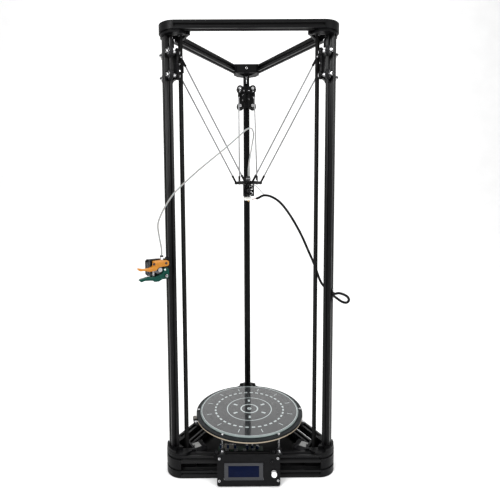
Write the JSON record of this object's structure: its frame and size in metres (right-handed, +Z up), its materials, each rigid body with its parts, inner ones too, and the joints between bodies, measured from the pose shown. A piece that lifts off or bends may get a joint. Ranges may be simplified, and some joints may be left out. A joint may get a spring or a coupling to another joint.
{
  "type": "delta 3d printer",
  "caption": "Tall triangular delta 3D printer: black slotted-profile frame, belt-driven carriages, paired arms, hot end, round glass bed, side filament feeder and tilted display.",
  "frame": {"origin": "on the floor, on the vertical axis through the middle of the bed", "axes": "+Z up along the towers, +Y from the display towards the rear tower, +X to the right as seen from the display"},
  "size_m": [0.5316, 0.4394, 1.142],
  "materials": {
    "profile_black": "black anodised, fine brushed",
    "corner_black": "moulded, fine grain",
    "motor_black": "black enamel with plain steel ends",
    "belt_black": "matt",
    "switch_black": "moulded",
    "bed_glass": "polished",
    "heater_black": "printed heater laminate over a pale insulation edge",
    "steel": "bright",
    "board_green": "circuit board",
    "panel_black": "satin black",
    "module_grey": "display with a silver-grey bezel",
    "bracket_black": "satin black",
    "feed_orange": "moulded",
    "feed_green": "moulded",
    "tube_white": "translucent, smooth",
    "harness_black": "sleeved",
    "carriage_black": "black anodised with bright fasteners",
    "wheel_grey": "smooth",
    "effector_black": "black anodised",
    "arm_grey": "satin rods with black ends",
    "sink_silver": "turned",
    "heater_white": "white tape wrap",
    "fan_black": "moulded",
    "gear_steel": "machined",
    "knob_silver": "silver-white"
  },
  "bodies": {
    "frame": {"tower_left": "profile_black", "tower_right": "profile_black", "tower_rear": "profile_black", "top_beam_front": "profile_black", "top_beam_left": "profile_black", "top_beam_right": "profile_black", "base_beams_front": "profile_black", "base_beams_left": "profile_black", "base_beams_right": "profile_black", "top_corner_left": "corner_black", "base_corner_left": "corner_black", "top_corner_right": "corner_black", "base_corner_right": "corner_black", "top_corner_rear": "corner_black", "base_corner_rear": "corner_black", "stepper_motors": "motor_black", "drive_belts": "belt_black", "endstop_switches": "switch_black", "bed_glass": "bed_glass", "bed_heater": "heater_black", "bed_mounts": "steel", "controller_board": "board_green", "display_panel": "panel_black", "display_module": "module_grey", "feed_bracket": "bracket_black", "feed_body": "feed_orange", "bowden_tube": "tube_white", "hotend_harness": "harness_black"},
    "effector": {"effector_plate": "effector_black", "arms": "arm_grey", "heat_sink": "sink_silver", "heater_block": "heater_white", "fan_frame": "fan_black"},
    "fan": {"fan_rotor": "fan_black"},
    "carriage_left": {"carriage_left": "carriage_black"},
    "wheel_left_1": {"wheel_left_1": "wheel_grey"},
    "wheel_left_2": {"wheel_left_2": "wheel_grey"},
    "wheel_left_3": {"wheel_left_3": "wheel_grey"},
    "wheel_left_4": {"wheel_left_4": "wheel_grey"},
    "motor_pulley_left": {"motor_pulley_left": "steel"},
    "idler_pulley_left": {"idler_pulley_left": "steel"},
    "carriage_right": {"carriage_right": "carriage_black"},
    "wheel_right_1": {"wheel_right_1": "wheel_grey"},
    "wheel_right_2": {"wheel_right_2": "wheel_grey"},
    "wheel_right_3": {"wheel_right_3": "wheel_grey"},
    "wheel_right_4": {"wheel_right_4": "wheel_grey"},
    "motor_pulley_right": {"motor_pulley_right": "steel"},
    "idler_pulley_right": {"idler_pulley_right": "steel"},
    "carriage_rear": {"carriage_rear": "carriage_black"},
    "wheel_rear_1": {"wheel_rear_1": "wheel_grey"},
    "wheel_rear_2": {"wheel_rear_2": "wheel_grey"},
    "wheel_rear_3": {"wheel_rear_3": "wheel_grey"},
    "wheel_rear_4": {"wheel_rear_4": "wheel_grey"},
    "motor_pulley_rear": {"motor_pulley_rear": "steel"},
    "idler_pulley_rear": {"idler_pulley_rear": "steel"},
    "encoder_shaft": {"encoder_shaft": "steel"},
    "menu_knob": {"menu_knob": "knob_silver"},
    "feed_lever": {"feed_lever": "feed_green"},
    "drive_gear": {"drive_gear": "gear_steel"},
    "pinch_bearing": {"pinch_bearing": "steel"}
  },
  "joints": [
    {"name": "effector_lift", "type": "slide", "parent": "frame", "child": "effector", "axis": [0, 0, 1], "range_m": [-0.6, 0], "deforming": ["bowden_tube", "hotend_harness"]},
    {"name": "carriage_left_slide", "type": "slide", "parent": "frame", "child": "carriage_left", "axis": [0, 0, 1], "range_m": [-0.6, 0]},
    {"name": "wheel_left_1_roll", "type": "hinge", "parent": "carriage_left", "child": "wheel_left_1", "pos_m": [-0.21117, -0.09825, 1.0185], "axis": [-0.866, -0.5, 0], "continuous": true},
    {"name": "wheel_left_2_roll", "type": "hinge", "parent": "carriage_left", "child": "wheel_left_2", "pos_m": [-0.21117, -0.09825, 1.0735], "axis": [-0.866, -0.5, 0], "continuous": true},
    {"name": "wheel_left_3_roll", "type": "hinge", "parent": "carriage_left", "child": "wheel_left_3", "pos_m": [-0.19067, -0.13375, 1.0185], "axis": [-0.866, -0.5, 0], "continuous": true},
    {"name": "wheel_left_4_roll", "type": "hinge", "parent": "carriage_left", "child": "wheel_left_4", "pos_m": [-0.19067, -0.13375, 1.0735], "axis": [-0.866, -0.5, 0], "continuous": true},
    {"name": "motor_pulley_left_spin", "type": "hinge", "parent": "frame", "child": "motor_pulley_left", "pos_m": [-0.17061, -0.0985, 0.03], "axis": [-0.866, -0.5, 0], "continuous": true},
    {"name": "idler_pulley_left_spin", "type": "hinge", "parent": "frame", "child": "idler_pulley_left", "pos_m": [-0.17061, -0.0985, 1.1285], "axis": [-0.866, -0.5, 0], "continuous": true},
    {"name": "carriage_right_slide", "type": "slide", "parent": "frame", "child": "carriage_right", "axis": [0, 0, 1], "range_m": [-0.6, 0]},
    {"name": "wheel_right_1_roll", "type": "hinge", "parent": "carriage_right", "child": "wheel_right_1", "pos_m": [0.19067, -0.13375, 1.0185], "axis": [0.866, -0.5, 0], "continuous": true},
    {"name": "wheel_right_2_roll", "type": "hinge", "parent": "carriage_right", "child": "wheel_right_2", "pos_m": [0.19067, -0.13375, 1.0735], "axis": [0.866, -0.5, 0], "continuous": true},
    {"name": "wheel_right_3_roll", "type": "hinge", "parent": "carriage_right", "child": "wheel_right_3", "pos_m": [0.21117, -0.09825, 1.0185], "axis": [0.866, -0.5, 0], "continuous": true},
    {"name": "wheel_right_4_roll", "type": "hinge", "parent": "carriage_right", "child": "wheel_right_4", "pos_m": [0.21117, -0.09825, 1.0735], "axis": [0.866, -0.5, 0], "continuous": true},
    {"name": "motor_pulley_right_spin", "type": "hinge", "parent": "frame", "child": "motor_pulley_right", "pos_m": [0.17061, -0.0985, 0.03], "axis": [0.866, -0.5, 0], "continuous": true},
    {"name": "idler_pulley_right_spin", "type": "hinge", "parent": "frame", "child": "idler_pulley_right", "pos_m": [0.17061, -0.0985, 1.1285], "axis": [0.866, -0.5, 0], "continuous": true},
    {"name": "carriage_rear_slide", "type": "slide", "parent": "frame", "child": "carriage_rear", "axis": [0, 0, 1], "range_m": [-0.6, 0]},
    {"name": "wheel_rear_1_roll", "type": "hinge", "parent": "carriage_rear", "child": "wheel_rear_1", "pos_m": [0.0205, 0.232, 1.0185], "axis": [0, 1, 0], "continuous": true},
    {"name": "wheel_rear_2_roll", "type": "hinge", "parent": "carriage_rear", "child": "wheel_rear_2", "pos_m": [0.0205, 0.232, 1.0735], "axis": [0, 1, 0], "continuous": true},
    {"name": "wheel_rear_3_roll", "type": "hinge", "parent": "carriage_rear", "child": "wheel_rear_3", "pos_m": [-0.0205, 0.232, 1.0185], "axis": [0, 1, 0], "continuous": true},
    {"name": "wheel_rear_4_roll", "type": "hinge", "parent": "carriage_rear", "child": "wheel_rear_4", "pos_m": [-0.0205, 0.232, 1.0735], "axis": [0, 1, 0], "continuous": true},
    {"name": "motor_pulley_rear_spin", "type": "hinge", "parent": "frame", "child": "motor_pulley_rear", "pos_m": [0, 0.197, 0.03], "axis": [0, 1, 0], "continuous": true},
    {"name": "idler_pulley_rear_spin", "type": "hinge", "parent": "frame", "child": "idler_pulley_rear", "pos_m": [0, 0.197, 1.1285], "axis": [0, 1, 0], "continuous": true},
    {"name": "fan_spin", "type": "hinge", "parent": "effector", "child": "fan", "pos_m": [0, -0.024, 0.74], "axis": [0, 1, 0], "continuous": true},
    {"name": "encoder_push", "type": "slide", "parent": "frame", "child": "encoder_shaft", "axis": [0, -0.9848, 0.1736], "range_m": [-0.0005, 0], "stiffness_N_per_m": 400, "springref_m": 0.0005},
    {"name": "menu_knob_turn", "type": "hinge", "parent": "encoder_shaft", "child": "menu_knob", "pos_m": [0.0566, -0.18141, 0.03512], "axis": [0, -0.9848, 0.1736], "continuous": true},
    {"name": "feed_lever_squeeze", "type": "hinge", "parent": "frame", "child": "feed_lever", "pos_m": [-0.20975, -0.1457, 0.5305], "axis": [-0.5, 0.866, 0], "range_deg": [0, 5], "stiffness_Nm_per_rad": 1, "springref_deg": -8.59},
    {"name": "drive_gear_spin", "type": "hinge", "parent": "frame", "child": "drive_gear", "pos_m": [-0.22333, -0.15319, 0.546], "axis": [0.5, -0.866, 0], "continuous": true},
    {"name": "pinch_bearing_spin", "type": "hinge", "parent": "feed_lever", "child": "pinch_bearing", "pos_m": [-0.21279, -0.14745, 0.546], "axis": [0.5, -0.866, 0], "continuous": true}
  ],
  "couplings": [
    {"joint": "carriage_left_slide", "follows": "effector_lift", "ratio": 1},
    {"joint": "wheel_left_1_roll", "follows": "effector_lift", "rad_per_m": -91.743},
    {"joint": "wheel_left_2_roll", "follows": "effector_lift", "rad_per_m": -91.743},
    {"joint": "wheel_left_3_roll", "follows": "effector_lift", "rad_per_m": 91.743},
    {"joint": "wheel_left_4_roll", "follows": "effector_lift", "rad_per_m": 91.743},
    {"joint": "motor_pulley_left_spin", "follows": "effector_lift", "rad_per_m": 157.08},
    {"joint": "idler_pulley_left_spin", "follows": "effector_lift", "rad_per_m": 157.08},
    {"joint": "carriage_right_slide", "follows": "effector_lift", "ratio": 1},
    {"joint": "wheel_right_1_roll", "follows": "effector_lift", "rad_per_m": -91.743},
    {"joint": "wheel_right_2_roll", "follows": "effector_lift", "rad_per_m": -91.743},
    {"joint": "wheel_right_3_roll", "follows": "effector_lift", "rad_per_m": 91.743},
    {"joint": "wheel_right_4_roll", "follows": "effector_lift", "rad_per_m": 91.743},
    {"joint": "motor_pulley_right_spin", "follows": "effector_lift", "rad_per_m": 157.08},
    {"joint": "idler_pulley_right_spin", "follows": "effector_lift", "rad_per_m": 157.08},
    {"joint": "carriage_rear_slide", "follows": "effector_lift", "ratio": 1},
    {"joint": "wheel_rear_1_roll", "follows": "effector_lift", "rad_per_m": -91.743},
    {"joint": "wheel_rear_2_roll", "follows": "effector_lift", "rad_per_m": -91.743},
    {"joint": "wheel_rear_3_roll", "follows": "effector_lift", "rad_per_m": 91.743},
    {"joint": "wheel_rear_4_roll", "follows": "effector_lift", "rad_per_m": 91.743},
    {"joint": "motor_pulley_rear_spin", "follows": "effector_lift", "rad_per_m": 157.08},
    {"joint": "idler_pulley_rear_spin", "follows": "effector_lift", "rad_per_m": 157.08}
  ]
}
